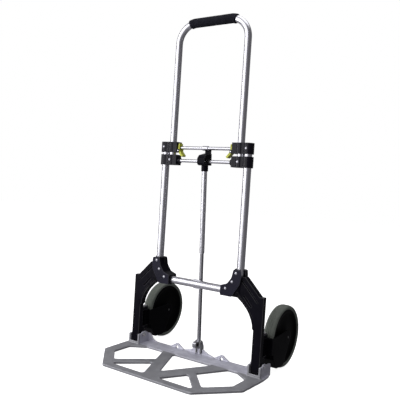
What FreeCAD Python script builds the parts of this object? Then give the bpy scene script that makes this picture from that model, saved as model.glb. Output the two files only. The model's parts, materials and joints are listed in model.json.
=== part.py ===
import FreeCAD, Part
import math
import os
import re
import Sketcher
from FreeCAD import Placement, Rotation, Vector

# Folding two-wheel hand truck. +X is the right side, -Y the front where the toe plate lies,
# +Z is up, and Z = 0 is the floor. Right-hand pieces are modelled and left-hand ones mirrored.
# The handle slides down past the frame; the rod head, lower rod, toe plate and wheel carriers
# are modelled unfolded, with the handle fully out.

SIZES = {
    # lower frame tubes and the cross tube
    "frame_half": 141.8, "frame_radius": 11, "frame_wall": 1.8, "frame_foot": 240, "frame_top": 634,
    "cross_height": 222, "cross_half": 126,
    # handle tube: a U with a foam grip on its top bar
    "handle_half": 117.6, "handle_radius": 10, "handle_wall": 1.5, "handle_foot": 567, "handle_top": 984,
    "bend": 58, "grip_radius": 13.5, "grip_wrap": 19,
    # clamps at the top of the frame and at the foot of the handle
    "clamp_radius": 15.5, "clamp_tall": 31, "upper_clamp_base": 604, "lower_clamp_base": 566,
    "clamp_inner": 95, "clamp_web": 13, "slide_gap": 0.35, "boss_radius": 9, "boss_inner": 88,
    "bar_radius": 5, "bar_wall": 1.2, "bar_half": 102, "bar_lift": 13.95,
    "keeper_radius": 6.8, "keeper_half": 9,
    # side brackets: collar, socket, elbow, arm, post and foot
    "collar_radius": 16.5, "collar_top": 286, "socket_radius": 15.5, "socket_inner": 93,
    "elbow_half": 18, "gusset_thick": 2, "post_inner": 199, "post_wide": 26, "post_top": 221,
    "post_front": 13, "post_back": 3, "foot_back": 14, "foot_radius": 24, "foot_top": 60, "channel_deep": 3,
    "rivet_radius": 3, "rivet_head": 5, "rivet_dome": 1.8,
    # toe plate pivot and the toe plate
    "toe_y": 4, "toe_z": 32.5, "toe_pin_radius": 4, "toe_pin_gap": 0.1,
    "plate_thick": 6, "plate_front": 222, "plate_half": 241, "strip_half": 188, "groove_deep": 0.8,
    "rib_left": 36, "rib_right": 43, "rib_short": 22.5, "rib_long": 28, "opening_round": 6.3,
    "flange_front": 31, "flange_thick": 6, "flange_top": 10, "ear_gap": 2, "ear_thick": 5,
    "lug_x": 80, "lug_z": 12, "lug_radius": 12, "lug_hole": 4.5,
    # centre rod, leaning back towards its foot, and the parts at its two ends
    "rod_lean": 3.1, "rod_y": 19.8, "rod_radius": 5.8, "rod_tube_bore": 6.2, "rod_tube_radius": 7.5,
    "rod_tube_low": 90, "rod_tube_high": 352.5, "rod_low": -180.3, "rod_high": 110,
    "yoke_half": 5.6, "yoke_pin": 2.5, "yoke_pin_y": 29.5, "yoke_pin_z": 42,
    "yoke_round": 5, "yoke_rim": 4, "yoke_wall": 3.5, "cheek_inner": 6.2, "cheek_thick": 3, "rib_back": 44,
    "cheek_rivet_y": 37, "cheek_rivet_z": 18, "cheek_play": 1.8, "cheek_low": 12,
    "block_half": 12, "stub_radius": 10, "block_front": 23.2, "block_back": 17, "slot_w": 358.9,
    "stub_low": 330, "slot_radius": 5.6, "slot_run": 15.4,
    "catch_half": 8, "catch_y": 14, "catch_w": 374, "catch_pin": 2,
    "yoke_front": 26.8, "yoke_back": 8, "yoke_tall": 8.9,
    # wheel carriers and wheels
    "hinge_x": 212, "hinge_y": 28, "hinge_radius": 10, "hinge_pin": 4, "hinge_gap": 0.1,
    "barrel_low": 57, "barrel_high": 105, "knuckle_tall": 10.5, "knuckle_gap": 0.5,
    "hinge_pin_low": 44, "wheel_x": 216.5, "wheel_y": 132, "wheel_radius": 90, "wheel_wide": 34, "tyre_bore": 78,
    "tyre_round": 10, "carrier_half": 21.5, "wheel_room": 93.5, "wheel_room_half": 18.2,
    "axle_radius": 6, "axle_gap": 0.1, "axle_tip": 3.4, "hub_radius": 18, "hub_bore": 9, "disc_half": 9,
    "bush_long": 12, "rim_half": 14,
    # release levers and lock pins in the upper clamps
    "lever_x": 91, "lever_z": 609.5, "lever_half": 8.5, "lever_bore": 5.9, "lever_pin": 1.5, "lug_gap": 0.7,
    "lug_thick": 2.6, "lug_reach": 7.5, "lug_tall": 9,
    "lock_radius": 2, "lock_tip": 107.2, "lock_tail": 92.5, "lock_z": 627.5,
}

doc = FreeCAD.newDocument("HandTruck")
sheet = doc.addObject("Spreadsheet::Sheet", "Sizes")
for row, (alias, value) in enumerate(SIZES.items(), start=1):
    sheet.set(f"A{row}", alias)
    sheet.set(f"B{row}", str(value))
    sheet.setAlias(f"B{row}", alias)
doc.recompute()

TURNS = {
    "X": Rotation(Vector(0, 1, 0), 90),
    "Y": Rotation(Vector(1, 0, 0), -90),
    "Z": Rotation(),
}
nodes = []


# ---------------------------------------------------------------- helpers

def bound(text):
    """The expression text, with every name of the sheet read from the sheet."""
    return re.sub(r"[a-z_]+", lambda word: "Sizes." + word.group() if word.group() in SIZES else word.group(),
                  str(text))


def place(item, x, y, z):
    """Binds the item's position to three expressions."""
    for letter, text in zip("xyz", (x, y, z)):
        item.setExpression("Placement.Base." + letter, bound(text))
    return item


def box(size, corner):
    """A box of three sizes, from its lowest corner."""
    item = doc.addObject("Part::Box", "Box")
    for name, text in zip(("Length", "Width", "Height"), size):
        item.setExpression(name, bound(text))
    return place(item, *corner)


def cylinder(radius, length, start, axis="Z"):
    """A cylinder that runs from start along axis."""
    item = doc.addObject("Part::Cylinder", "Cylinder")
    item.Placement = Placement(Vector(), TURNS[axis])
    item.setExpression("Radius", bound(radius))
    item.setExpression("Height", bound(length))
    return place(item, *start)


def cone(low_radius, high_radius, length, start, axis="Z"):
    """A cone that runs from start along axis."""
    item = doc.addObject("Part::Cone", "Cone")
    item.Placement = Placement(Vector(), TURNS[axis])
    item.setExpression("Radius1", bound(low_radius))
    item.setExpression("Radius2", bound(high_radius))
    item.setExpression("Height", bound(length))
    return place(item, *start)


def fuse(*items):
    """The union of the items, with coplanar faces merged."""
    item = doc.addObject("Part::MultiFuse", "Fusion")
    item.Shapes = list(items)
    item.Refine = True
    return item


def group(*items):
    """Separate solids kept together, such as the rivets of one joint."""
    item = doc.addObject("Part::Compound", "Group")
    item.Links = list(items)
    return item


def cut(base, *tools):
    """The base less its tools."""
    item = doc.addObject("Part::Cut", "Cut")
    item.Base = base
    item.Tool = tools[0] if len(tools) == 1 else fuse(*tools)
    return item


def common(base, tool):
    """The space that two items share."""
    item = doc.addObject("Part::Common", "Common")
    item.Base = base
    item.Tool = tool
    return item


def across(radius, y, z):
    """A cylinder along X, right through the parts on the truck's centre line."""
    return cylinder(radius, "4 * block_half", ("-2 * block_half", y, z), "X")


def tube(radius, wall, length, start, axis="Z"):
    """A straight round tube, open at both ends."""
    return cut(cylinder(radius, length, start, axis), cylinder(f"({radius}) - ({wall})", length, start, axis))


def polygon(body, plane, points):
    """A closed sketch through the points, on one of the body's origin planes."""
    sketch = body.newObject("Sketcher::SketchObject", "Outline")
    role = plane + "_Plane"
    origin_plane = next(item for item in body.Origin.OriginFeatures if item.Role == role)
    sketch.AttachmentSupport = [(origin_plane, "")]
    sketch.MapMode = "FlatFace"
    count = len(points)
    angles = [2 * math.pi * step / count for step in range(count)]
    ring = [Vector(math.cos(angle), math.sin(angle), 0) for angle in angles]
    for step in range(count):
        sketch.addGeometry(Part.LineSegment(ring[step], ring[(step + 1) % count]), False)
    for step in range(count):
        sketch.addConstraint(Sketcher.Constraint("Coincident", step, 2, (step + 1) % count, 1))
    for step, point in enumerate(points):
        for kind, text in zip(("DistanceX", "DistanceY"), point):
            index = sketch.addConstraint(Sketcher.Constraint(kind, -1, 1, step, 1, 1.0))
            sketch.setExpression(f"Constraints[{index}]", bound(text))
    return sketch


def plate(plane, points, thickness, rounding=None):
    """A body padded both ways from an origin plane; rounding gives corner radii by point index."""
    body = doc.addObject("PartDesign::Body", "Plate")
    sketch = polygon(body, plane, points)
    pad = body.newObject("PartDesign::Pad", "Pad")
    pad.Profile = sketch
    pad.SideType = "Symmetric"
    pad.setExpression("Length", bound(thickness))
    doc.recompute()
    corners = [sketch.Placement.multVec(line.StartPoint) for line in sketch.Geometry]
    normal = sketch.Placement.Rotation.multVec(Vector(0, 0, 1))
    for radius in sorted(set((rounding or {}).values())):
        base = body.Tip
        wanted = [corners[index] for index, value in rounding.items() if value == radius]
        edges = edges_at(base.Shape, wanted, normal)
        fillet = body.newObject("PartDesign::Fillet", "Corners")
        fillet.Base = (base, edges)
        fillet.Radius = radius
        body.Tip = fillet
        doc.recompute()
    return body


def edges_at(shape, places, direction):
    """Names of the straight edges along direction whose line passes through one of the places."""
    names = []
    for number, edge in enumerate(shape.Edges, start=1):
        middle = edge.CenterOfMass
        ends = edge.Vertexes
        along = len(ends) == 2 and (ends[1].Point - ends[0].Point).cross(direction).Length < 0.001
        if along and any((middle - spot).cross(direction).Length < 0.01 for spot in places):
            names.append(f"Edge{number}")
    return names


def rounded(item, radius, wanted):
    """The item with a fillet on each edge for which wanted(edge) is true."""
    doc.recompute()
    fillet = doc.addObject("Part::Fillet", "Rounded")
    fillet.Base = item
    fillet.Edges = [(number, radius, radius) for number, edge in enumerate(item.Shape.Edges, start=1)
                    if wanted(edge)]
    return fillet


def rivet(x, z, front, back):
    """A rivet along Y through a joint: a shank between two shallow domed heads."""
    shank = cylinder("rivet_radius", f"({back}) - ({front})", (x, front, z), "Y")
    near = cone("rivet_head * 0.6", "rivet_head", "rivet_dome", (x, f"({front}) - rivet_dome", z), "Y")
    far = cone("rivet_head", "rivet_head * 0.6", "rivet_dome", (x, back, z), "Y")
    return fuse(shank, near, far)


def node(item, name):
    """Names an item as a sub-part of the truck."""
    item.Label = name
    nodes.append(item)
    return item


def mirrored(item):
    """The item's mirror image in the plane X = 0."""
    image = doc.addObject("Part::Mirroring", "Mirror")
    image.Source = item
    image.Normal = Vector(1, 0, 0)
    return image


def pair(item, name):
    """A right-hand sub-part and its left-hand mirror image."""
    node(item, name + "_right")
    node(mirrored(item), name + "_left")


# ---------------------------------------------------------------- lower frame

def frame_tubes(shanks):
    """The two uprights and the cross tube between them, drilled for the gusset rivets."""
    upright = tube("frame_radius", "frame_wall", "frame_top - frame_foot", ("frame_half", 0, "frame_foot"))
    pair(cut(upright, *shanks), "lower_tube")
    across = tube("frame_radius", "frame_wall", "2 * cross_half", ("-cross_half", 0, "cross_height"), "X")
    node(cut(across, *shanks, mirrored(group(*shanks))), "cross_tube")


def gusset_outline():
    """The curved corner between the collar and the cross tube's socket, in X and Z."""
    return [
        ("socket_inner - 2", "cross_height - 13"),
        ("frame_half - 14", "cross_height - 13"),
        ("frame_half + 10", "cross_height + 24"),
        ("frame_half + 14", "cross_height + 46"),
        ("frame_half + 12", "collar_top - 1"),
        ("frame_half - 12", "collar_top - 1"),
        ("frame_half - 17", "cross_height + 40"),
        ("frame_half - 30", "cross_height + 22"),
        ("socket_inner - 2", "cross_height + 15"),
    ]


def bracket():
    """The moulding that joins lower tube, cross tube and foot, and carries the wheel hinge."""
    collar = cylinder("collar_radius", "collar_top - cross_height", ("frame_half", 0, "cross_height"))
    socket = cylinder("socket_radius", "frame_half - socket_inner", ("socket_inner", 0, "cross_height"), "X")
    elbow = plate("XZ", gusset_outline(), "2 * elbow_half", {6: 14, 7: 14, 1: 4, 2: 20})
    arm = plate("XZ", [
        ("frame_half - 20", "cross_height - 7"),
        ("frame_half - 4", "cross_height - 9"),
        ("frame_half + 18", "cross_height - 25"),
        ("post_inner - 20", "cross_height - 45"),
        ("post_inner - 6", "cross_height - 72"),
        ("post_inner - 4", "cross_height - 89"),
        ("post_inner + 1", "cross_height - 94"),
        ("post_inner + 14", "cross_height - 94"),
        ("post_inner + 14", "post_top - 1"),
        ("frame_half + 24", "cross_height + 46"),
        ("frame_half + 10", "cross_height + 46"),
    ], "post_front + post_back + 4", {2: 60, 3: 60, 4: 60})
    place(arm, 0, "(post_back + 4 - post_front) / 2", 0)
    post = box(("post_wide", "post_front + post_back", "post_top - toe_z"),
               ("post_inner", "-post_front", "toe_z"))
    foot = common(
        cylinder("foot_radius", "post_wide", ("post_inner", "toe_y", "toe_z"), "X"),
        box(("post_wide", "post_front + foot_back", "foot_top"), ("post_inner", "-post_front", 0)))
    low_base = "barrel_low - knuckle_gap - knuckle_tall"
    high_base = "barrel_high + knuckle_gap"
    knuckles = []
    for base in (low_base, high_base):
        knuckles.append(cylinder("hinge_radius", "knuckle_tall", ("hinge_x", "hinge_y", base)))
        knuckles.append(box(("2 * hinge_radius", "hinge_y", "knuckle_tall"),
                            ("hinge_x - hinge_radius", 0, base)))
    solid = fuse(collar, socket, elbow, arm, post, foot, *knuckles)
    channels = [channel("frame_half + 13", "cross_height + 34", 74, -45.5, 3.5),
                channel("frame_half + 20", "cross_height - 6", 38, -47, 5),
                channel("frame_half + 1", "cross_height - 6", 30, -38, 2.5),
                channel("frame_half + 26", "cross_height - 26", 44, -55, 2.5)]
    opening = box((20, 19, 30), ("frame_half + 6", -20, "collar_top - 18"))
    return cut(solid, opening,
               cylinder("frame_radius", "collar_top", ("frame_half", 0, "frame_foot")),
               cylinder("frame_radius", "cross_half", (0, 0, "cross_height"), "X"),
               cylinder("toe_pin_radius", "post_wide", ("post_inner", "toe_y", "toe_z"), "X"),
               cylinder("hinge_pin", "post_top", ("hinge_x", "hinge_y", 0)),
               *channels)


def channel(x, z, length, tilt, width):
    """A shallow rib channel sunk in the arm's front face; tilt turns it about Y."""
    item = doc.addObject("Part::Box", "Channel")
    item.Length = length
    item.Height = width
    item.setExpression("Width", "2 * Sizes.channel_deep")
    item.Placement = Placement(Vector(), Rotation(Vector(0, 1, 0), -tilt))
    return place(item, x, "-post_front - channel_deep", z)


def gussets():
    """Front and rear reinforcing plates over each elbow, and the rivets through them."""
    rounding = {0: 3, 1: 5, 2: 20, 4: 4, 5: 4, 6: 14, 7: 14, 8: 4}
    middle = "elbow_half + gusset_thick / 2"
    front = place(plate("XZ", gusset_outline(), "gusset_thick", rounding), 0, f"-({middle})", 0)
    rear = place(plate("XZ", gusset_outline(), "gusset_thick", rounding), 0, middle, 0)
    spots = [("frame_half - 3", "cross_height + 54"), ("frame_half - 14", "cross_height + 29"),
             ("frame_half - 34", "cross_height + 8")]
    rivets = [rivet(x, z, "-elbow_half - gusset_thick", "elbow_half + gusset_thick") for x, z in spots]
    shanks = [cylinder("rivet_radius", "3 * elbow_half", (x, "-1.5 * elbow_half", z), "Y") for x, z in spots]
    pair(cut(front, *shanks), "gusset_front")
    pair(cut(rear, *shanks), "gusset_rear")
    pair(group(*rivets), "gusset_rivets")
    return shanks


def frame():
    shanks = gussets()
    frame_tubes(shanks)
    pair(cut(bracket(), *shanks), "side_bracket")
    pin = fuse(cylinder("hinge_pin", "barrel_high + knuckle_tall + 2 - hinge_pin_low",
                        ("hinge_x", "hinge_y", "hinge_pin_low")),
               cylinder("hinge_pin + 1.5", 3, ("hinge_x", "hinge_y", "barrel_high + knuckle_tall + 1")))
    pair(pin, "carrier_hinge_pin")
    start = "post_inner - ear_gap - ear_thick - 1"
    toe_pin = fuse(cylinder("toe_pin_radius", "post_wide + 2 * (ear_gap + ear_thick + 1)",
                            (start, "toe_y", "toe_z"), "X"),
                   cylinder("toe_pin_radius + 2", 2, (f"{start} - 2", "toe_y", "toe_z"), "X"))
    pair(toe_pin, "toe_hinge_pin")


# ---------------------------------------------------------------- clamps and crossbars

def clamp(base, boss_end, fixed_x, fixed_radius, sliding_x, sliding_radius):
    """A two-lobed clamp: one tube is fixed in it and the other slides through it."""
    lobes = [cylinder("clamp_radius", "clamp_tall", (x, 0, base)) for x in (fixed_x, sliding_x)]
    web = box(("frame_half - clamp_inner", "2 * clamp_web", "clamp_tall"), ("clamp_inner", "-clamp_web", base))
    boss = cylinder("boss_radius", f"handle_half - {boss_end}", (boss_end, 0, f"{base} + bar_lift"), "X")
    return cut(fuse(*lobes, web, boss),
               cylinder(fixed_radius, "2 * clamp_tall", (fixed_x, 0, f"{base} - clamp_tall / 2")),
               cylinder(f"{sliding_radius} + slide_gap", "2 * clamp_tall",
                        (sliding_x, 0, f"{base} - clamp_tall / 2")),
               cylinder("bar_radius", "bar_half", (0, 0, f"{base} + bar_lift"), "X"))


def crossbar(base):
    """A round bar between the two clamps of one pair."""
    return tube("bar_radius", "bar_wall", "2 * bar_half", ("-bar_half", 0, f"{base} + bar_lift"), "X")


def clamp_rivets(base, x):
    """Front and rear rivet heads that hold one tube in its clamp."""
    heads = []
    for side in (-1, 1):
        start = f"{side} * (clamp_radius + 1) - 1.3"
        heads.append(cylinder("rivet_head", 2.6, (x, start, f"{base} + clamp_tall / 2"), "Y"))
    return group(*heads)


def clamps():
    upper = clamp("upper_clamp_base", "clamp_inner",
                  "frame_half", "frame_radius", "handle_half", "handle_radius")
    lugs = [box(("lug_reach + 1", "lug_thick", "lug_tall"),
                ("clamp_inner - lug_reach", y, "lever_z - lug_tall / 2"))
            for y in ("lever_half + lug_gap", "-lever_half - lug_gap - lug_thick")]
    bore = cylinder("lock_radius + 0.1", 30, ("clamp_inner - 8", 0, "lock_z"), "X")
    upper_rivets = clamp_rivets("upper_clamp_base", "frame_half")
    pair(cut(fuse(upper, *lugs), bore, lever_pin(), upper_rivets), "upper_clamp")
    pair(upper_rivets, "upper_clamp_rivets")
    keeper = tube("keeper_radius", "keeper_radius - bar_radius + bar_wall / 2", "2 * keeper_half",
                  ("-keeper_half", 0, "upper_clamp_base + bar_lift"), "X")
    node(fuse(crossbar("upper_clamp_base"), keeper), "upper_crossbar")
    lower = clamp("lower_clamp_base", "boss_inner",
                  "handle_half", "handle_radius", "frame_half", "frame_radius")
    lower_rivets = clamp_rivets("lower_clamp_base", "handle_half")
    pair(cut(lower, lower_rivets), "lower_clamp")
    pair(lower_rivets, "lower_clamp_rivets")
    node(crossbar("lower_clamp_base"), "lower_crossbar")


# ---------------------------------------------------------------- handle

def quarter(radius, angle, side):
    """Part of the round bend at one end of the top bar, from the vertical leg or from the top."""
    item = doc.addObject("Part::Torus", "Bend")
    turn = Rotation(Vector(0, 0, 1), 0 if side > 0 else 180) * Rotation(Vector(1, 0, 0), 90)
    item.setExpression("Radius1", "Sizes.bend")
    item.setExpression("Radius2", bound(radius))
    item.setExpression("Angle3", bound(angle))
    item.Placement = Placement(Vector(), turn)
    return place(item, f"{side} * (handle_half - bend)", 0, "handle_top - bend")


def bent_bar(radius):
    """A solid U bar of the handle's outline."""
    legs = [cylinder(radius, "handle_top - bend - handle_foot", (f"{side} * handle_half", 0, "handle_foot"))
            for side in (-1, 1)]
    top = cylinder(radius, "2 * (handle_half - bend)", ("bend - handle_half", 0, "handle_top"), "X")
    return fuse(*legs, top, quarter(radius, 90, -1), quarter(radius, 90, 1))


def grip_bar(radius):
    """The part of the bar that the grip covers, wrapping a little way round each bend."""
    top = cylinder(radius, "2 * (handle_half - bend)", ("bend - handle_half", 0, "handle_top"), "X")
    ends = []
    for side in (-1, 1):
        end = quarter(radius, "grip_wrap", side)
        lift = Rotation(Vector(0, 1, 0), -side * (90 - SIZES["grip_wrap"]))
        end.Placement = Placement(Vector(), lift * end.Placement.Rotation)
        ends.append(place(end, f"{side} * (handle_half - bend)", 0, "handle_top - bend"))
    return fuse(top, *ends)


def handle():
    holes = [cylinder("lock_radius + 0.3", 8, (f"{side} * (handle_half - 10) - 4", 0, "lock_z"), "X")
             for side in (-1, 1)]
    node(cut(bent_bar("handle_radius"), bent_bar("handle_radius - handle_wall"), *holes), "handle_tube")
    node(cut(grip_bar("grip_radius"), grip_bar("handle_radius")), "handle_grip")


# ---------------------------------------------------------------- centre rod

def lean(item):
    """Stands an item of the rod, built along Z about the cross tube's height, on the leaning axis."""
    item.Placement = Placement(Vector(), Rotation(Vector(1, 0, 0), SIZES["rod_lean"]))
    item.setExpression("Placement.Rotation.Angle", "Sizes.rod_lean")
    return place(item, 0, "rod_y", "cross_height")


def rod_head():
    """The rod's upper tube, and the slotted block that hangs it on the lower crossbar."""
    length = "rod_tube_high - rod_tube_low"
    node(lean(cut(cylinder("rod_tube_radius", length, (0, 0, "rod_tube_low")),
                  cylinder("rod_tube_bore", length, (0, 0, "rod_tube_low - 2")))), "rod_upper_tube")
    block = plate("YZ", [("-block_back + 2", "slot_w - 12"), ("-block_front", "slot_w - 8"),
                         ("-block_front", "slot_w + 9"), ("-block_back + 3", "slot_w + 18"),
                         ("block_back", "slot_w + 24"), ("block_back", "slot_w - 12")],
                  "2 * block_half", {1: 6, 2: 8, 3: 6, 4: 4})
    stub = cylinder("stub_radius", 19, (0, 0, "stub_low"))
    slot = fuse(box(("4 * block_half", "slot_run", "2 * slot_radius"),
                    ("-2 * block_half", "-slot_run", "slot_w - slot_radius")),
                across("slot_radius", "-slot_run", "slot_w"), across("slot_radius", 0, "slot_w"))
    fork = box(("2 * catch_half + 1", 20, 40), ("-catch_half - 0.5", "catch_y - 5.5", "slot_w - 5"))
    bore = cylinder("rod_tube_radius", "rod_tube_high - stub_low + 10", (0, 0, "stub_low - 10"))
    catch_hole = across("catch_pin", "catch_y", "catch_w")
    node(lean(cut(fuse(block, stub), slot, fork, bore, catch_hole)), "rod_block")
    pin = cylinder("catch_pin", "2 * block_half", ("-block_half", "catch_y", "catch_w"), "X")
    node(lean(group(pin)), "catch_pin")
    arm = plate("YZ", [("catch_y - 4", "catch_w + 4"), ("catch_y - 2", "catch_w + 25"),
                       ("catch_y + 8", "catch_w + 24"), ("catch_y + 5", "catch_w"),
                       ("catch_y + 12", "catch_w - 19"), ("catch_y + 7", "catch_w - 21"),
                       ("catch_y - 2", "catch_w - 5")], "2 * catch_half", {1: 3, 2: 3, 4: 2, 5: 2})
    hub = cylinder(5, "2 * catch_half", ("-catch_half", "catch_y", "catch_w"), "X")
    node(lean(cut(fuse(arm, hub), across("catch_pin + 0.1", "catch_y", "catch_w"))), "catch_lever")


def lower_rod():
    """The rod's sliding lower half, and the slotted yoke on its foot that the toe plate's pin runs in."""
    bar = cylinder("rod_radius", "rod_high - rod_low", (0, 0, "rod_low"))
    yoke = box(("2 * yoke_half", "yoke_front + yoke_back", "2 * yoke_tall"),
               ("-yoke_half", "-yoke_front", "rod_low - yoke_tall"))
    yoke = rounded(yoke, SIZES["yoke_round"], lambda edge: abs(edge.Length - 2 * SIZES["yoke_half"]) < 0.01)
    room = "(yoke_tall - yoke_wall)"
    front = f"-yoke_front + yoke_rim + {room}"
    back = f"yoke_back - yoke_rim - {room}"
    slot = fuse(box(("4 * block_half", f"{back} - ({front})", f"2 * {room}"),
                    ("-2 * block_half", front, f"rod_low - {room}")),
                across(room, front, "rod_low"), across(room, back, "rod_low"))
    node(lean(cut(fuse(bar, yoke), slot)), "lower_rod")


def rod_guide():
    """The saddle behind the cross tube, with a loop that keeps the rod in line."""
    ring = cylinder("frame_radius + 2.5", "2 * block_half", ("-block_half", 0, "cross_height"), "X")
    loop = box(("2 * block_half", 32, 10), ("-block_half", 0, "cross_height - 5"))
    window = box(("2 * rod_tube_radius + 2", "rod_y + 4", 60),
                 ("-rod_tube_radius - 1", 5, "cross_height - 30"))
    front = box(("2 * block_half", 30, 60), ("-block_half", -32, "cross_height - 30"))
    node(cut(fuse(ring, loop), across("frame_radius", 0, "cross_height"), window, front), "rod_guide")


# ---------------------------------------------------------------- toe plate

def both_sides(half):
    """A closed outline from its right half, listed from the bottom centre line round to the top."""
    left = [(f"-({x})", y) for x, y in reversed(half)]
    return list(half) + left


def rib(first, last, width):
    """A flat rib of the toe plate between two points of its plan."""
    run = Vector(last[0] - first[0], last[1] - first[1], 0)
    item = doc.addObject("Part::Box", "Rib")
    item.Length = run.Length
    item.setExpression("Width", bound(width))
    item.setExpression("Height", "Sizes.plate_thick")
    item.Placement.Rotation = Rotation(Vector(1, 0, 0), run)
    side = Vector(-run.y, run.x, 0) / run.Length
    return place(item, f"{first[0]} - ({side.x:.4f}) * {width} / 2",
                 f"{first[1]} - ({side.y:.4f}) * {width} / 2", 0)


def toe_plate():
    """One casting: a pierced plate, a rear flange with two lugs, and ears round each post's foot."""
    outline = both_sides([("plate_half - 94", "-plate_front"), ("plate_half - 3", "104 - plate_front"),
                          ("plate_half", -15), ("plate_half - 5", "flange_front + flange_thick")])
    inside = both_sides([("plate_half - 113", "25 - plate_front"), ("plate_half - 38", "110 - plate_front"),
                         ("plate_half - 38", -45), ("plate_half - 81", -14)])
    sheet_plate = plate("XY", outline, "plate_thick", {0: 14, 1: 14, 3: 16, 4: 16, 6: 14, 7: 14})
    window = plate("XY", inside, "2 * plate_thick")
    rim = cut(place(sheet_plate, 0, 0, "plate_thick / 2"), window)
    ribs = [rib((-90, 12), (0, -203), "rib_left"), rib((120, 12), (-2, -203), "rib_right"),
            rib((62, -94), (154, -196), "rib_short"), rib((-158, -192), (-50, -86), "rib_long")]
    web = rounded(fuse(rim, *ribs), SIZES["opening_round"], inner_corner)
    strip = plate("YZ", [(-14, 1), (-14, "plate_thick + 0.3"), (12, "plate_thick + 2.4"),
                         ("flange_front + 1", "flange_top"), ("flange_front + 1", 1)], "2 * strip_half")
    groove = box(("2 * strip_half", 3, 5), ("-strip_half", 3, "plate_thick + 1.7 - groove_deep"))
    flange = plate("XZ", both_sides([(197, 0), (197, 34), (187, 31), (172, 14), (156, "flange_top"),
                                     (54, "flange_top"), (32, 16), (14, 25)]), "flange_thick",
                   {1: 3, 2: 8, 3: 12, 6: 10, 7: 5, 8: 5, 9: 10, 12: 12, 13: 8, 14: 3})
    place(flange, 0, "flange_front + flange_thick / 2", 0)
    lugs = [cylinder("lug_radius", "flange_thick", (f"{side} * lug_x", "flange_front", "lug_z"), "Y")
            for side in (-1, 1)]
    centre_rib = box(("2 * cheek_inner", "rib_back - flange_front", 25), ("-cheek_inner", "flange_front", 0))
    inner = [(-6, 0), (-6, "toe_z"), (-1, "toe_z + 9"), (16, "toe_z + 9"), (32, "toe_z"), (43, 18), (47, 0)]
    outer = [(-6, 0), (-6, "toe_z"), (-2, "toe_z + 8"), (10, "toe_z + 8"), (17, "toe_z + 3"), (43, "toe_z + 2"),
             (44, 0)]
    ears = []
    for side in (-1, 1):
        for x, points, rounding in (
                ("post_inner - ear_gap - ear_thick / 2", inner, {1: 5, 2: 6, 3: 10, 4: 10, 5: 6}),
                ("post_inner + post_wide + ear_gap + ear_thick / 2", outer, {1: 5, 2: 5, 3: 5, 4: 5, 5: 4})):
            ears.append(place(plate("YZ", points, "ear_thick", rounding), f"{side} * ({x})", 0, 0))
    holes = [cylinder("lug_hole", 20, (f"{side} * lug_x", "flange_front - 5", "lug_z"), "Y")
             for side in (-1, 1)]
    holes.append(cylinder("toe_pin_radius + toe_pin_gap", "2 * plate_half",
                          ("-plate_half", "toe_y", "toe_z"), "X"))
    holes.append(across("rivet_radius", "cheek_rivet_y", "cheek_rivet_z"))
    notches = [box(("cheek_thick + cheek_play", 22, 30), (x, "rib_back - 20", "cheek_low"))
               for x in ("cheek_inner", "-cheek_inner - cheek_thick - cheek_play")]
    node(cut(fuse(web, strip, flange, centre_rib, *lugs, *ears), groove, *holes, *notches), "toe_plate")


def inner_corner(edge):
    """True for an upright edge of one of the plate's openings."""
    middle = edge.CenterOfMass
    upright = abs(edge.Length - SIZES["plate_thick"]) < 0.01 and len(edge.Vertexes) == 2
    upright = upright and abs(edge.Vertexes[0].Z - edge.Vertexes[1].Z) > 1
    return upright and abs(middle.x) < 206 and -200 < middle.y < -10


def clevis():
    """Two cheeks riveted to the plate's centre rib, and the pin between them for the rod's yoke."""
    outline = [("rib_back - 18", "cheek_low"), ("rib_back", "cheek_low"), ("rib_back", 30),
               ("yoke_pin_y + 8", "yoke_pin_z + 4"), ("yoke_pin_y + 3", "yoke_pin_z + 9"),
               ("yoke_pin_y - 5", "yoke_pin_z + 9"), ("yoke_pin_y - 9", "yoke_pin_z + 4"),
               ("yoke_pin_y - 9", "yoke_pin_z - 6"), ("rib_back - 18", 30)]
    outside = "(cheek_inner + cheek_thick)"
    cheek = place(plate("YZ", outline, "cheek_thick", {3: 4, 4: 4, 5: 4, 6: 4}),
                  "cheek_inner + cheek_thick / 2", 0, 0)
    cheek = cut(cheek, across("yoke_pin", "yoke_pin_y", "yoke_pin_z"),
                across("rivet_radius", "cheek_rivet_y", "cheek_rivet_z"))
    pair(cheek, "clevis_cheek")
    shank = cylinder("rivet_radius", f"2 * {outside}", (f"-{outside}", "cheek_rivet_y", "cheek_rivet_z"), "X")
    heads = [cylinder("rivet_head", 1.5, (x, "cheek_rivet_y", "cheek_rivet_z"), "X")
             for x in (outside, f"-{outside} - 1.5")]
    node(fuse(shank, *heads), "clevis_rivet")
    pin = cylinder("yoke_pin", f"2 * {outside}", (f"-{outside}", "yoke_pin_y", "yoke_pin_z"), "X")
    node(pin, "clevis_pin")


# ---------------------------------------------------------------- wheels

def carrier():
    """The forked carrier that holds a wheel behind its post, with a guard round the tyre's front."""
    body = plate("YZ", [("hinge_y + 5", "barrel_low + 1"), ("hinge_y + 5", "barrel_high - 1"),
                        ("wheel_y - 14", "wheel_radius + 19"), ("wheel_y + 12", "wheel_radius + 17"),
                        ("wheel_y + 20", "wheel_radius"), ("wheel_y + 10", "wheel_radius - 18"),
                        ("wheel_y - 20", 14), ("hinge_y + 38", 14), ("hinge_y + 19", 42),
                        ("hinge_y + 14", "barrel_low + 1")],
                 "2 * carrier_half", {1: 4, 3: 14, 4: 14, 5: 14, 6: 12, 7: 6})
    place(body, "wheel_x", 0, 0)
    barrel = cylinder("hinge_radius", "barrel_high - barrel_low", ("hinge_x", "hinge_y", "barrel_low"))
    room = cylinder("wheel_room", "2 * wheel_room_half",
                    ("wheel_x - wheel_room_half", "wheel_y", "wheel_radius"), "X")
    shaft = axle()
    hinge_hole = cylinder("hinge_pin + hinge_gap", 200, ("hinge_x", "hinge_y", 0))
    pair(cut(fuse(body, barrel), room, shaft, hinge_hole), "wheel_carrier")
    pair(shaft, "axle")


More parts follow.
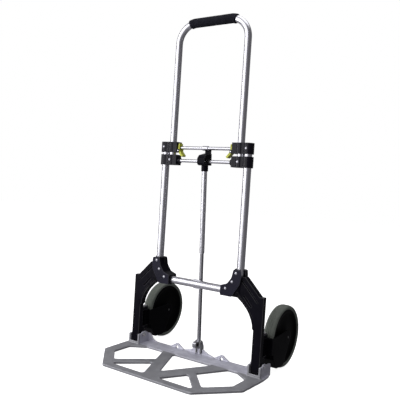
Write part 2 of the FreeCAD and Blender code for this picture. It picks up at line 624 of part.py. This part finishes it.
def axle():
    """A shouldered axle: its thin tips are riveted over on the carrier's sides."""
    lengths = (("axle_radius", "carrier_half - 1.3"), ("axle_tip", "carrier_half + 1"))
    return fuse(*[cylinder(radius, f"2 * ({half})", (f"wheel_x - ({half})", "wheel_y", "wheel_radius"), "X")
                  for radius, half in lengths])


def wheel_ring(radius, half, hole):
    """A ring about the right wheel's axle."""
    length = f"2 * ({half})"
    start = (f"wheel_x - ({half})", "wheel_y", "wheel_radius")
    return cut(cylinder(radius, length, start, "X"), cylinder(hole, length, start, "X"))


def wheel():
    """Tyre, dished disc and two bushes, about an axle along X."""
    tyre = wheel_ring("wheel_radius", "wheel_wide / 2", "tyre_bore")
    tyre = rounded(tyre, SIZES["tyre_round"], tread_corner)
    pair(tyre, "tyre")
    seat = "tyre_bore - 0.05"
    disc = fuse(wheel_ring(seat, "disc_half", "hub_bore"), wheel_ring(seat, "rim_half", "tyre_bore - 9"),
                wheel_ring("hub_radius", "wheel_wide / 2", "hub_bore"))
    pair(disc, "wheel_disc")
    bushes = []
    for start in ("wheel_x - wheel_wide / 2", "wheel_x + wheel_wide / 2 - bush_long"):
        corner = (start, "wheel_y", "wheel_radius")
        bushes.append(cut(cylinder("hub_bore - 0.05", "bush_long", corner, "X"),
                          cylinder("axle_radius + axle_gap", "bush_long", corner, "X")))
    pair(group(*bushes), "wheel_bushes")


def tread_corner(edge):
    """True for the two circles at the sides of the tread."""
    return hasattr(edge.Curve, "Radius") and abs(edge.Curve.Radius - SIZES["wheel_radius"]) < 0.01


# ---------------------------------------------------------------- releases

def lever_pin():
    """The pin that a release lever turns on, between the clamp's two lugs."""
    half = "lever_half + lug_gap + lug_thick"
    return cylinder("lever_pin", f"2 * ({half})", ("lever_x", f"-({half})", "lever_z"), "Y")


def releases():
    """Lever and lock pin at the inner end of each upper clamp; the crossbar passes through the lever."""
    lever = plate("XZ", [("lever_x + 2.5", "lever_z - 3"), ("lever_x + 2.5", "lever_z + 3"),
                         ("lever_x + 0.5", "lock_z + 3"), ("lever_x - 3", "lock_z + 3"),
                         ("lever_x - 3.5", "lever_z + 1"), ("lever_x - 8", "lever_z - 5"),
                         ("lever_x - 17", "lever_z - 15"), ("lever_x - 12", "lever_z - 19"),
                         ("lever_x - 3", "lever_z - 9")],
                  "2 * lever_half", {3: 1.2, 6: 2, 7: 2})
    bar_room = cylinder("lever_bore", 30, ("lever_x - 20", 0, "upper_clamp_base + bar_lift"), "X")
    pin_hole = cylinder("lever_pin + 0.1", 30, ("lever_x", -15, "lever_z"), "Y")
    pair(cut(lever, bar_room, pin_hole), "release_lever")
    pair(lever_pin(), "lever_pin")
    pair(cylinder("lock_radius", "lock_tip - lock_tail", ("lock_tail", 0, "lock_z"), "X"), "lock_pin")


def main():
    frame()
    rod_guide()
    clamps()
    releases()
    handle()
    rod_head()
    lower_rod()
    toe_plate()
    clevis()
    carrier()
    wheel()


main()
doc.recompute()
for item in doc.Objects:
    if {"Invalid", "Error"} & set(item.State):
        raise RuntimeError(f"{item.Name} {item.Label} did not build: {item.State}")
os.makedirs("parts", exist_ok=True)
for item in nodes:
    if item.Shape.isNull() or not item.Shape.isValid():
        raise RuntimeError(f"{item.Label} has no valid shape")
    item.Shape.exportStep(f"parts/{item.Label}.step")
print(len(nodes), "nodes")
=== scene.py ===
import json
import math

import bmesh
import bpy
from mathutils import Matrix, Vector, noise

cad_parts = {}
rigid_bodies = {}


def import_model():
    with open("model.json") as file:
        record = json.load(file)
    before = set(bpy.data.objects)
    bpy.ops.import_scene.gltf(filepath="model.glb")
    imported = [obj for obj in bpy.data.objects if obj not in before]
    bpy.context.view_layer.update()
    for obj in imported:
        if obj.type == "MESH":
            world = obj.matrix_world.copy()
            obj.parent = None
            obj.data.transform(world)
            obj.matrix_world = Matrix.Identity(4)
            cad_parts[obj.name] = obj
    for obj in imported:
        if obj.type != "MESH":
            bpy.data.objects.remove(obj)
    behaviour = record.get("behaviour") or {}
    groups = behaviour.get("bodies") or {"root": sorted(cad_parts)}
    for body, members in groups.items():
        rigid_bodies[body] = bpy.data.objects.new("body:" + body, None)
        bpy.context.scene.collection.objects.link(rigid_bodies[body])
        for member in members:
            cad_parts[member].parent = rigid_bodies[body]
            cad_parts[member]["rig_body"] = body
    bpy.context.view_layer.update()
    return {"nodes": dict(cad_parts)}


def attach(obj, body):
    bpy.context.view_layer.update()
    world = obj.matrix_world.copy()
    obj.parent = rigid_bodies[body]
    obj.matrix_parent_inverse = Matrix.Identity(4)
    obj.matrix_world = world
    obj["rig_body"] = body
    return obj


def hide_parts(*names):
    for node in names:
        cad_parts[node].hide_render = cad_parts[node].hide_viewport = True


# Looks of the folding hand truck: softened mouldings and castings, turned wheels, a ribbed grip,
# procedural finishes, studio light and the camera. Lengths are in metres, in the CAD's frame.

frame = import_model()
scene = bpy.context.scene
SIDES = (("right", 1), ("left", -1))

WHEEL_X, WHEEL_Y, WHEEL_Z = 0.2165, 0.132, 0.09
TREAD_STEPS, DISC_STEPS, DOME_STEPS = 120, 96, 28    # facets round a turned mesh
SHARP_ANGLE = math.radians(40)                       # edges above this stay sharp in turned meshes

RIVET_RADIUS = 0.0042
GUSSET_RIVETS = ((0.1388, 0.276), (0.1278, 0.251), (0.1078, 0.230))    # X and Z
GUSSET_FACE, GUSSET_DOME = 0.020, 0.0020
CLAMP_RIVETS = (("upper", 0.1418, 0.6195, "frame"), ("lower", 0.1176, 0.5815, "handle"))
CLAMP_FACE, CLAMP_DOME = 0.0152, 0.0024

GRIP_HALF = 0.0596                 # half of the grip's straight run
GRIP_RADIUS, GRIP_BORE = 0.0135, 0.01005
GRIP_WRAP = math.radians(19)       # how far the grip follows each bend
RIBS, RIB_DEPTH, GRIP_STEPS = 30, 0.0006, 240
BEND = 0.058                       # radius of the handle's bends at the tube's middle
HANDLE_TOP = 0.984

LUG_X = 0.080                      # the toe plate's two holed lugs
STRIP_START = -0.014               # where the painted highlight on the toe plate's rear strip begins in Y

FLOOR_GLOW = 0.9
BRIGHT_SIDE, DARK_SIDE = 0.55, 0.17
AZIMUTH, ELEVATION, ROLL = math.radians(34.03), math.radians(1.8), math.radians(3.63)
LENS = 48.5
CAMERA_PLACE = (0.8692, -1.2997, 0.5169)

MIX_FIRST, MIX_SECOND, MIX_RESULT = 6, 7, 2          # the Mix node's colour sockets


# ---------------------------------------------------------------- materials

class Tree:
    """A material's node tree, with short calls for the nodes used here."""

    def __init__(self, name):
        self.material = bpy.data.materials.new(name)
        self.material.use_nodes = True
        self.tree = self.material.node_tree
        self.shader = next(node for node in self.tree.nodes if node.type == "BSDF_PRINCIPLED")
        self.coords = self.add("ShaderNodeTexCoord")

    def add(self, kind, **values):
        node = self.tree.nodes.new(kind)
        for name, value in values.items():
            setattr(node, name, value)
        return node

    def link(self, source, target):
        self.tree.links.new(source, target)

    def noise(self, scale, detail=3.0, stretch=(1, 1, 1), rough=0.5):
        """Noise over the object's own coordinates, stretched along some axes."""
        mapping = self.add("ShaderNodeMapping")
        mapping.inputs["Scale"].default_value = stretch
        texture = self.add("ShaderNodeTexNoise")
        texture.inputs["Scale"].default_value = scale
        texture.inputs["Detail"].default_value = detail
        texture.inputs["Roughness"].default_value = rough
        self.link(self.coords.outputs["Object"], mapping.inputs["Vector"])
        self.link(mapping.outputs["Vector"], texture.inputs["Vector"])
        return texture.outputs["Fac"]

    def spread(self, value, low, high, start=0.3, end=0.7):
        """A value that runs from low to high as another runs from start to end."""
        node = self.add("ShaderNodeMapRange")
        for name, number in (("From Min", start), ("From Max", end), ("To Min", low), ("To Max", high)):
            node.inputs[name].default_value = number
        self.link(value, node.inputs["Value"])
        return node.outputs["Result"]

    def mix(self, factor, first, second):
        """A colour between two; each is a colour or another node's output."""
        node = self.add("ShaderNodeMix", data_type="RGBA")
        self.link(factor, node.inputs["Factor"])
        for index, colour in ((MIX_FIRST, first), (MIX_SECOND, second)):
            if isinstance(colour, tuple):
                node.inputs[index].default_value = (*colour, 1)
            else:
                self.link(colour, node.inputs[index])
        return node.outputs[MIX_RESULT]

    def bump(self, height, distance, strength=1.0, below=None):
        """A normal bumped by height, over another normal if one is given."""
        node = self.add("ShaderNodeBump")
        node.inputs["Strength"].default_value = strength
        node.inputs["Distance"].default_value = distance
        self.link(height, node.inputs["Height"])
        if below is not None:
            self.link(below, node.inputs["Normal"])
        return node.outputs["Normal"]

    def edges(self, low=0.5, high=0.6):
        """Near 1 on outer edges and 0 elsewhere; it places edge wear, and on the mouldings painted edge
        highlights too.
        """
        geometry = self.add("ShaderNodeNewGeometry")
        return self.spread(geometry.outputs["Pointiness"], 0, 1, low, high)

    def feed(self, colour=None, roughness=None, normal=None, **fixed):
        """Links what varies to the shader, and sets what doesn't on the shader itself."""
        for socket, value in (("Base Color", colour), ("Roughness", roughness), ("Normal", normal)):
            if value is not None:
                self.link(value, self.shader.inputs[socket])
        for name, value in fixed.items():
            self.shader.inputs[name.replace("_", " ")].default_value = value
        return self.material


def shades(colour, amount):
    """A darker and a lighter version of a colour."""
    return tuple(tuple(channel * factor for channel in colour) for factor in (1 - amount, 1 + amount))


def drawn_tube(name, stretch, colour=(0.56, 0.56, 0.60), rough=0.22):
    """Satin aluminium tube with fine drawing lines along its length and light handling marks."""
    tree = Tree(name)
    lines = tree.noise(700, 3, stretch)
    haze = tree.noise(14, 3)
    marks = tree.noise(60, 4, rough=0.7)
    dark, light = shades(colour, 0.06)
    tone = tree.mix(tree.spread(lines, 0, 1), dark, light)
    rub = tree.spread(marks, 0, 1, 0.62, 0.75)
    tone = tree.mix(rub, tone, tuple(channel * 0.86 for channel in colour))
    sheen = tree.add("ShaderNodeMath", operation="ADD")
    tree.link(tree.spread(haze, rough - 0.04, rough + 0.07), sheen.inputs[0])
    tree.link(tree.spread(lines, -0.03, 0.05), sheen.inputs[1])
    return tree.feed(tone, sheen.outputs[0], tree.bump(lines, 0.00004, 0.5), Metallic=1.0)


def cast_metal(name):
    """Fettled die casting: sandy grain, mottled tone, a painted highlight that makes the rear part paler
    and bluish, and brighter worn edges.
    """
    tree = Tree(name)
    grain = tree.noise(1500, 4, rough=0.6)
    mottle = tree.noise(45, 4)
    clouds = tree.noise(9, 2)
    tone = tree.mix(tree.spread(mottle, 0, 1), (0.24, 0.242, 0.262), (0.32, 0.323, 0.345))
    tone = tree.mix(tree.spread(clouds, 0, 0.6), tone, (0.285, 0.288, 0.31))
    place = tree.add("ShaderNodeSeparateXYZ")
    tree.link(tree.coords.outputs["Object"], place.inputs["Vector"])
    # The rear strip is painted paler and bluish: a painted highlight for the light that its sloped face
    # catches.
    rear = tree.spread(place.outputs["Y"], 0, 1, STRIP_START - 0.001, STRIP_START + 0.002)
    strip = tree.mix(tree.spread(mottle, 0, 1), (0.44, 0.44, 0.51), (0.57, 0.57, 0.645))
    tone = tree.mix(rear, tone, strip)
    tone = tree.mix(tree.spread(tree.edges(0.51, 0.57), 0, 0.5, 0, 1), tone, (0.60, 0.60, 0.66))
    surface = tree.bump(grain, 0.00018, 0.6, tree.bump(mottle, 0.0005, 0.3))
    return tree.feed(tone, tree.spread(mottle, 0.46, 0.62), surface, Metallic=0.45)


def moulded(name, colour, rough=0.34, grain=1300, gloss=0.5, edge_wear_and_highlight=0.035):
    """Moulded plastic with a fine texture, uneven sheen, and lighter edges that are partly rubbed wear and
    partly painted edge highlights.
    """
    tree = Tree(name)
    fine = tree.noise(grain, 3, rough=0.6)
    flow = tree.noise(22, 3)
    dark, light = shades(colour, 0.22)
    tone = tree.mix(tree.spread(flow, 0, 1), dark, light)
    # Lighter edges: partly rubbed wear, partly a painted highlight along the edges.
    tone = tree.mix(tree.edges(0.512, 0.545), tone, tuple(channel + edge_wear_and_highlight for channel in colour))
    return tree.feed(tone, tree.spread(flow, rough - 0.06, rough + 0.09), tree.bump(fine, 0.00008, 0.5),
                     Specular_IOR_Level=gloss)


def foam(name):
    """Black foam rubber with open pores and a dusty bloom."""
    tree = Tree(name)
    pores = tree.noise(2600, 4, rough=0.7)
    dust = tree.noise(60, 4)
    tone = tree.mix(tree.spread(dust, 0, 1), (0.003, 0.003, 0.007), (0.008, 0.008, 0.015))
    return tree.feed(tone, tree.spread(pores, 0.62, 0.85), tree.bump(pores, 0.0003, 0.7),
                     Specular_IOR_Level=0.12, Sheen_Weight=0.03, Sheen_Roughness=0.5)


def tread(name):
    """Grey-green thermoplastic rubber, scuffed paler round the crown."""
    tree = Tree(name)
    scuff = tree.noise(300, 5, rough=0.7)
    patches = tree.noise(30, 4)
    tone = tree.mix(tree.spread(patches, 0, 1), (0.115, 0.127, 0.112), (0.150, 0.165, 0.146))
    tone = tree.mix(tree.spread(scuff, 0, 0.5, 0.5, 0.75), tone, (0.20, 0.215, 0.19))
    return tree.feed(tone, tree.spread(patches, 0.55, 0.7), tree.bump(scuff, 0.0002, 0.6),
                     Specular_IOR_Level=0.2)


def plated(name, colour=(0.78, 0.78, 0.80), rough=0.24):
    """Bright zinc plate with a faint mottle."""
    tree = Tree(name)
    mottle = tree.noise(500, 4)
    dark, light = shades(colour, 0.1)
    tone = tree.mix(tree.spread(mottle, 0, 1), dark, light)
    return tree.feed(tone, tree.spread(mottle, rough - 0.06, rough + 0.1), tree.bump(mottle, 0.00005, 0.5),
                     Metallic=1.0)


UPRIGHT = (1, 1, 0.012)
ACROSS = (0.012, 1, 1)
LOOKS = {
    "tube_upright": drawn_tube("tube_upright", UPRIGHT),
    "tube_across": drawn_tube("tube_across", ACROSS),
    "rod": drawn_tube("rod", UPRIGHT, (0.40, 0.40, 0.43), 0.26),
    "cast": cast_metal("cast"),
    "black": moulded("black", (0.0026, 0.0022, 0.0056), 0.30, gloss=0.06, edge_wear_and_highlight=0.07),
    "glossy": moulded("glossy", (0.0032, 0.0026, 0.0080), 0.2, gloss=0.2, edge_wear_and_highlight=0.03),
    "gusset": moulded("gusset", (0.010, 0.0095, 0.021), 0.34, grain=900, gloss=0.12, edge_wear_and_highlight=0.05),
    "foam": foam("foam"),
    "yellow": moulded("yellow", (0.50, 0.53, 0.025), 0.34, edge_wear_and_highlight=0.05),
    "plated": plated("plated"),
    "black_steel": moulded("black_steel", (0.06, 0.06, 0.07), 0.35, edge_wear_and_highlight=0.25),
    "rivet_heads": plated("rivet_heads", (0.42, 0.42, 0.46), 0.4),
    "dull_steel": plated("dull_steel", (0.13, 0.13, 0.135), 0.4),
    "tread": tread("tread"),
    "disc": moulded("disc", (0.0014, 0.0015, 0.0017), 0.42, gloss=0.025, edge_wear_and_highlight=0.004),
    "carrier": moulded("carrier", (0.0015, 0.0014, 0.0026), 0.38, gloss=0.03, edge_wear_and_highlight=0.006),
    "nylon": moulded("nylon", (0.55, 0.55, 0.52), 0.45),
}


def paint(obj, look):
    """Gives an object one material."""
    obj.data.materials.clear()
    obj.data.materials.append(LOOKS[look])
    return obj


# ---------------------------------------------------------------- mesh helpers

def both(name):
    """A node's name on each side."""
    return [f"{name}_{side}" for side, _ in SIDES]


def keep(names, look):
    """CAD pieces whose shape is right get only a finish."""
    for name in names:
        paint(frame["nodes"][name], look)


def new_piece(name, mesh, body, look, slot, *replaced):
    """An object that rides on a body and stands for CAD nodes."""
    obj = bpy.data.objects.new(name, mesh)
    scene.collection.objects.link(obj)
    paint(obj, look)
    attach(obj, body)
    if replaced:
        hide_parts(*replaced)
    return obj


def block(low, high):
    """The corners of a box."""
    return [(x, y, z) for x in (low[0], high[0]) for y in (low[1], high[1]) for z in (low[2], high[2])]


def wedge(outline, front, back):
    """The corners of a slab in X and Z between two depths."""
    return [(x, y, z) for x, z in outline for y in (front, back)]


def soften(node, voxel, rounds, look, slot, extras=()):
    """Replaces a CAD node by a copy whose edges are rounded, as a moulding's or a casting's are."""
    mesh = frame["nodes"][node].data.copy()
    made = bmesh.new()
    made.from_mesh(mesh)
    bmesh.ops.remove_doubles(made, verts=made.verts, dist=1e-6)
    for corners in extras:
        bmesh.ops.convex_hull(made, input=[made.verts.new(corner) for corner in corners])
    made.to_mesh(mesh)
    made.free()
    obj = bpy.data.objects.new(node + "_soft", mesh)
    scene.collection.objects.link(obj)
    remesh = obj.modifiers.new("Skin", "REMESH")
    remesh.mode = "VOXEL"
    remesh.voxel_size = voxel
    smooth = obj.modifiers.new("Ease", "SMOOTH")
    smooth.factor = 0.5
    smooth.iterations = rounds
    bpy.context.view_layer.update()
    final = bpy.data.meshes.new_from_object(obj.evaluated_get(bpy.context.evaluated_depsgraph_get()))
    bpy.data.objects.remove(obj)
    final.shade_smooth()
    return new_piece(node + "_skin", final, frame["nodes"][node]["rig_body"], look, slot, node)


def lathe(profile, steps, closed=True):
    """A mesh turned about the X axis from (radius, x) points."""
    mesh = bpy.data.meshes.new("turned")
    made = bmesh.new()
    rings = []
    for step in range(steps):
        angle = 2 * math.pi * step / steps
        rings.append([made.verts.new((x, radius * math.cos(angle), radius * math.sin(angle)))
                      for radius, x in profile])
    count = len(profile)
    for step in range(steps):
        here, there = rings[step], rings[(step + 1) % steps]
        for index in range(count if closed else count - 1):
            after = (index + 1) % count
            made.faces.new((here[index], there[index], there[after], here[after]))
    bmesh.ops.recalc_face_normals(made, faces=made.faces)
    made.to_mesh(mesh)
    made.free()
    mesh.shade_smooth()
    mesh.set_sharp_from_angle(angle=SHARP_ANGLE)
    return mesh


def joined(meshes):
    """One mesh of several."""
    made = bmesh.new()
    for mesh in meshes:
        made.from_mesh(mesh)
    result = bpy.data.meshes.new("joined")
    made.to_mesh(result)
    made.free()
    result.shade_smooth()
    result.set_sharp_from_angle(angle=SHARP_ANGLE)
    return result


def dome(height, place, direction):
    """A rivet's domed head whose base is at place; direction points out of the head."""
    profile = [(RIVET_RADIUS, -0.0004), (RIVET_RADIUS, height * 0.12)]
    for degrees in range(15, 90, 15):
        angle = math.radians(degrees)
        profile.append((RIVET_RADIUS * math.cos(angle), height * (0.12 + 0.88 * math.sin(angle))))
    profile.append((RIVET_RADIUS * 0.02, height))
    mesh = lathe(profile, DOME_STEPS, closed=False)
    turn = Vector((1, 0, 0)).rotation_difference(Vector(direction)).to_matrix().to_4x4()
    mesh.transform(Matrix.Translation(place) @ turn)
    return mesh


# ---------------------------------------------------------------- pieces

def rivets():
    """Domed heads over the CAD rivets of the gussets and the clamps."""
    for side, sign in SIDES:
        heads = [dome(GUSSET_DOME, (sign * x, way * GUSSET_FACE, z), (0, way, 0))
                 for x, z in GUSSET_RIVETS for way in (-1, 1)]
        new_piece(f"gusset_rivet_heads_{side}", joined(heads), "frame", "rivet_heads", "zinc_steel",
                  f"gusset_rivets_{side}")
        for label, x, z, body in CLAMP_RIVETS:
            heads = [dome(CLAMP_DOME, (sign * x, way * CLAMP_FACE, z), (0, way, 0)) for way in (-1, 1)]
            new_piece(f"{label}_clamp_rivet_heads_{side}", joined(heads), body, "rivet_heads", "zinc_steel",
                      f"{label}_clamp_rivets_{side}")


def tyres():
    """Round-shouldered tyres with shallow grooves, and smooth dished wheel centres."""
    outer = [(0.0785, -0.0135), (0.0800, -0.0155), (0.0825, -0.0165), (0.0850, -0.0160), (0.0872, -0.0142),
             (0.0886, -0.0115), (0.0893, -0.0088)]
    grooves = []
    for middle in (-0.0060, 0.0, 0.0060):
        for x, radius in ((-0.0009, 0.0898), (-0.0005, 0.0890), (0.0005, 0.0890), (0.0009, 0.0898)):
            grooves.append((radius, middle + x))
    other = [(radius, -x) for radius, x in reversed(outer)]
    profile = outer + grooves + other + [(0.0779, 0.0130), (0.0779, -0.0130)]
    disc = [(0.0092, -0.0168), (0.0165, -0.0168), (0.0178, -0.0160), (0.0190, -0.0110), (0.0215, -0.0095),
            (0.0560, -0.0095), (0.0640, -0.0105), (0.0690, -0.0128), (0.0702, -0.0136), (0.0766, -0.0136),
            (0.0777, -0.0125)]
    disc += [(radius, -x) for radius, x in reversed(disc)]
    for side, sign in SIDES:
        move = Matrix.Translation((sign * WHEEL_X, WHEEL_Y, WHEEL_Z))
        tyre = lathe(profile, TREAD_STEPS)
        tyre.transform(move)
        new_piece(f"tyre_tread_{side}", tyre, f"wheel_{side}", "tread", "tread_rubber", f"tyre_{side}")
        centre = lathe(disc, DISC_STEPS)
        centre.transform(move)
        new_piece(f"wheel_centre_{side}", centre, f"wheel_{side}", "disc", "wheel_plastic",
                  f"wheel_disc_{side}")


def plate_extras():
    """Lips before the posts' feet, the ears' front edges, and sloping shoulders beside the two lugs."""
    extras = []
    for _, sign in SIDES:
        for inner, outer, back, top in ((0.1915, 0.1975, -0.002, 0.037), (0.2265, 0.2325, -0.002, 0.035),
                                        (0.195, 0.229, -0.0145, 0.0135)):
            xs = sorted((sign * inner, sign * outer))
            extras.append(block((xs[0], -0.0185, 0.001), (xs[1], back, top)))
        for way in (-1, 1):
            lug = sign * LUG_X
            extras.append(wedge([(lug + way * 0.0062, 0.003), (lug + way * 0.0062, 0.0215),
                                 (lug + way * 0.0095, 0.0195), (lug + way * 0.0165, 0.0125),
                                 (lug + way * 0.028, 0.009), (lug + way * 0.028, 0.003)], 0.0312, 0.0368))
    return extras


def grip():
    """The foam sleeve: ribs along its length, rounded ends, and its ends wrapped round the bends."""
    path = []
    for step in range(9):
        angle = GRIP_WRAP * (1 - step / 8)
        path.append((-GRIP_HALF - BEND * math.sin(angle), HANDLE_TOP - BEND + BEND * math.cos(angle),
                     angle))
    for step in range(1, 40):
        path.append((-GRIP_HALF + 2 * GRIP_HALF * step / 40, HANDLE_TOP, 0))
    path += [(-x, z, -angle) for x, z, angle in reversed(path[:9])]
    inset = ((0.0, 0.0016), (0.0006, 0.0006), (0.0016, 0.0001))
    mesh = bpy.data.meshes.new("grip")
    made = bmesh.new()
    rings = []

    def turned(x, z, tilt, radius_at):
        """A ring of vertices round the path's point, with its own radius at each angle."""
        verts = []
        for step in range(GRIP_STEPS):
            angle = 2 * math.pi * step / GRIP_STEPS
            radius = radius_at(angle)
            up = radius * math.sin(angle)
            verts.append(made.verts.new((x - up * math.sin(tilt), radius * math.cos(angle),
                                         z + up * math.cos(tilt))))
        return verts

    def ring(x, z, tilt, reduce, ribbed):
        """A ring of the outer face; ribbed is how deep its ribs are, from 0 to 1."""
        def radius_at(angle):
            radius = GRIP_RADIUS - reduce
            radius -= ribbed * RIB_DEPTH * (0.5 - 0.5 * math.cos(RIBS * angle)) ** 2
            return radius - 0.00025 * max(0.0, noise.noise(Vector((x * 60, angle * 1.5, 3.1))))
        return turned(x, z, tilt, radius_at)

    def bore(x, z, tilt):
        """A ring of the hole that the handle's tube runs in."""
        return turned(x, z, tilt, lambda angle: GRIP_BORE)

    start, end = path[0], path[-1]
    rings.append(bore(*start))
    for ahead, reduce in inset:
        rings.append(ring(start[0] + ahead * math.cos(start[2]), start[1] + ahead * math.sin(start[2]),
                          start[2], reduce, 0.3))
    for x, z, tilt in path[1:-1]:
        rings.append(ring(x, z, tilt, 0.0, 1.0))
    for ahead, reduce in reversed(inset):
        rings.append(ring(end[0] - ahead * math.cos(end[2]), end[1] - ahead * math.sin(end[2]),
                          end[2], reduce, 0.3))
    rings.append(bore(*end))
    for here, there in zip(rings, rings[1:]):
        for step in range(GRIP_STEPS):
            after = (step + 1) % GRIP_STEPS
            made.faces.new((here[step], there[step], there[after], here[after]))
    for step in range(GRIP_STEPS):
        after = (step + 1) % GRIP_STEPS
        made.faces.new((rings[-1][step], rings[0][step], rings[0][after], rings[-1][after]))
    bmesh.ops.recalc_face_normals(made, faces=made.faces)
    made.to_mesh(mesh)
    made.free()
    mesh.shade_smooth()
    sleeve = new_piece("grip_sleeve", mesh, "handle", "foam", "grip_foam", "handle_grip")


keep(both("lower_tube") + ["handle_tube", "rod_upper_tube"], "tube_upright")
keep(["cross_tube", "upper_crossbar", "lower_crossbar", "rod_guide"], "tube_across")
keep(["lower_rod"], "rod")
keep(both("carrier_hinge_pin") + both("toe_hinge_pin") + both("lever_pin") + both("lock_pin"), "plated")
keep(both("axle") + ["catch_pin", "clevis_pin", "clevis_rivet"], "dull_steel")
keep(both("clevis_cheek"), "black_steel")
keep(both("wheel_bushes"), "nylon")
rivets()
tyres()
grip()
for name, voxel, rounds, look, slot in (
        ("side_bracket", 0.0010, 4, "black", "black_plastic"),
        ("wheel_carrier", 0.0010, 4, "carrier", "black_plastic"),
        ("upper_clamp", 0.0006, 4, "glossy", "black_plastic"),
        ("lower_clamp", 0.0006, 4, "glossy", "black_plastic"),
        ("gusset_front", 0.0006, 2, "gusset", "gusset_plate"),
        ("gusset_rear", 0.0006, 2, "gusset", "gusset_plate"),
        ("release_lever", 0.0004, 3, "yellow", "yellow_plastic")):
    for full in both(name):
        soften(full, voxel, rounds, look, slot)
soften("toe_plate", 0.0012, 3, "cast", "cast_aluminium", plate_extras())
soften("rod_block", 0.0005, 3, "black", "black_plastic")
soften("catch_lever", 0.0005, 3, "black", "black_plastic")


# ---------------------------------------------------------------- floor, light and camera

def floor():
    """A pale floor bright enough to run into the white surround; it neither lights the object nor
    shows in its reflections."""
    bpy.ops.mesh.primitive_circle_add(vertices=96, radius=8, fill_type="NGON", location=(0, 0, -0.0005))
    plane = bpy.context.object
    plane.name = "floor"
    tree = Tree("floor")
    tone = tree.mix(tree.noise(3, 3), (0.68, 0.68, 0.68), (0.72, 0.72, 0.72))
    plane.data.materials.append(tree.feed(tone, Roughness=0.8, Emission_Color=(1, 1, 1, 1),
                                          Emission_Strength=FLOOR_GLOW))
    plane.visible_diffuse = False
    plane.visible_glossy = False


def softbox(name, place, target, size, power):
    """A white area light at place that faces target."""
    data = bpy.data.lights.new(name, "AREA")
    data.shape = "RECTANGLE"
    data.size, data.size_y = size
    data.energy = power
    lamp = bpy.data.objects.new(name, data)
    lamp.location = place
    lamp.rotation_euler = (Vector(target) - Vector(place)).to_track_quat("-Z", "Y").to_euler()
    scene.collection.objects.link(lamp)


def surround():
    """White behind the object; to what reflects it, grey that darkens from the left to the right."""
    world = bpy.data.worlds.new("surround")
    scene.world = world
    world.use_nodes = True
    nodes, links = world.node_tree.nodes, world.node_tree.links
    nodes["Background"].inputs["Color"].default_value = (1, 1, 1, 1)
    around = nodes.new("ShaderNodeBackground")
    around.inputs["Color"].default_value = (0.98, 0.96, 1.0, 1)
    coords = nodes.new("ShaderNodeTexCoord")
    across = nodes.new("ShaderNodeVectorMath")
    across.operation = "DOT_PRODUCT"
    across.inputs[1].default_value = (math.cos(AZIMUTH), math.sin(AZIMUTH), 0)
    fade = nodes.new("ShaderNodeMapRange")
    for name, number in (("From Min", -1), ("From Max", 0.6),
                         ("To Min", BRIGHT_SIDE), ("To Max", DARK_SIDE)):
        fade.inputs[name].default_value = number
    choice = nodes.new("ShaderNodeMixShader")
    path = nodes.new("ShaderNodeLightPath")
    links.new(coords.outputs["Generated"], across.inputs[0])
    links.new(across.outputs["Value"], fade.inputs["Value"])
    links.new(fade.outputs["Result"], around.inputs["Strength"])
    links.new(path.outputs["Is Camera Ray"], choice.inputs["Fac"])
    links.new(around.outputs["Background"], choice.inputs[1])
    links.new(nodes["Background"].outputs["Background"], choice.inputs[2])
    links.new(choice.outputs["Shader"], nodes["World Output"].inputs["Surface"])


def camera():
    """The camera low at the right front, a little rolled."""
    data = bpy.data.cameras.new("camera")
    data.lens = LENS
    eye = bpy.data.objects.new("camera", data)
    forward = Vector((-math.sin(AZIMUTH) * math.cos(ELEVATION), math.cos(AZIMUTH) * math.cos(ELEVATION),
                      -math.sin(ELEVATION)))
    right = Vector((math.cos(AZIMUTH), math.sin(AZIMUTH), 0))
    up = right.cross(forward)
    side = right * math.cos(ROLL) + up * math.sin(ROLL)
    top = up * math.cos(ROLL) - right * math.sin(ROLL)
    turn = Matrix((side, top, -forward)).transposed().to_4x4()
    eye.matrix_world = Matrix.Translation(CAMERA_PLACE) @ turn
    scene.collection.objects.link(eye)
    scene.camera = eye


floor()
softbox("key", (-0.9, -2.5, 1.3), (0, 0, 0.5), (3.2, 3.2), 52)
softbox("strip", (-2.0, -1.6, 0.9), (0, 0, 0.5), (0.3, 2.2), 16)
softbox("top", (0.1, 0.2, 2.8), (0, 0, 0.3), (2.4, 2.4), 30)
surround()
camera()
scene.view_settings.view_transform = "Standard"
